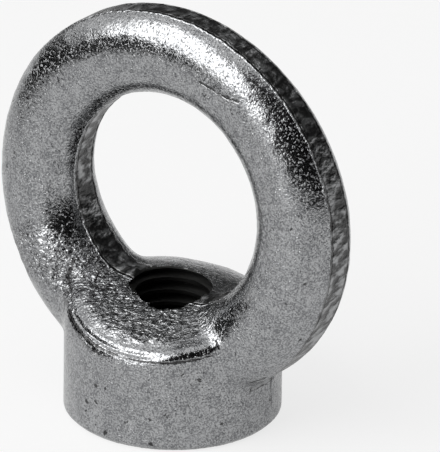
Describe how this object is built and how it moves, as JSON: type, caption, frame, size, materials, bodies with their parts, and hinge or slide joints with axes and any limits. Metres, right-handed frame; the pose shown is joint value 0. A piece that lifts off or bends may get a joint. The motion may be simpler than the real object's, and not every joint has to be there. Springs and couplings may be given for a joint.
{
  "type": "lifting eye nut",
  "caption": "Drop-forged lifting eye nut: a closed ring standing on a short round boss with a tapped through hole.",
  "frame": {"origin": "centre of the boss's seat face, on the thread's axis", "axes": "+Z along the thread from the seat towards the ring, +Y through the eye, +X across the ring"},
  "size_m": [0.045, 0.0244, 0.0478],
  "materials": {
    "zinc_steel": "zinc-plated drop-forged steel with a fine pitted skin, satin to bright"
  },
  "bodies": {
    "root": {"eye_nut": "zinc_steel"}
  },
  "joints": []
}
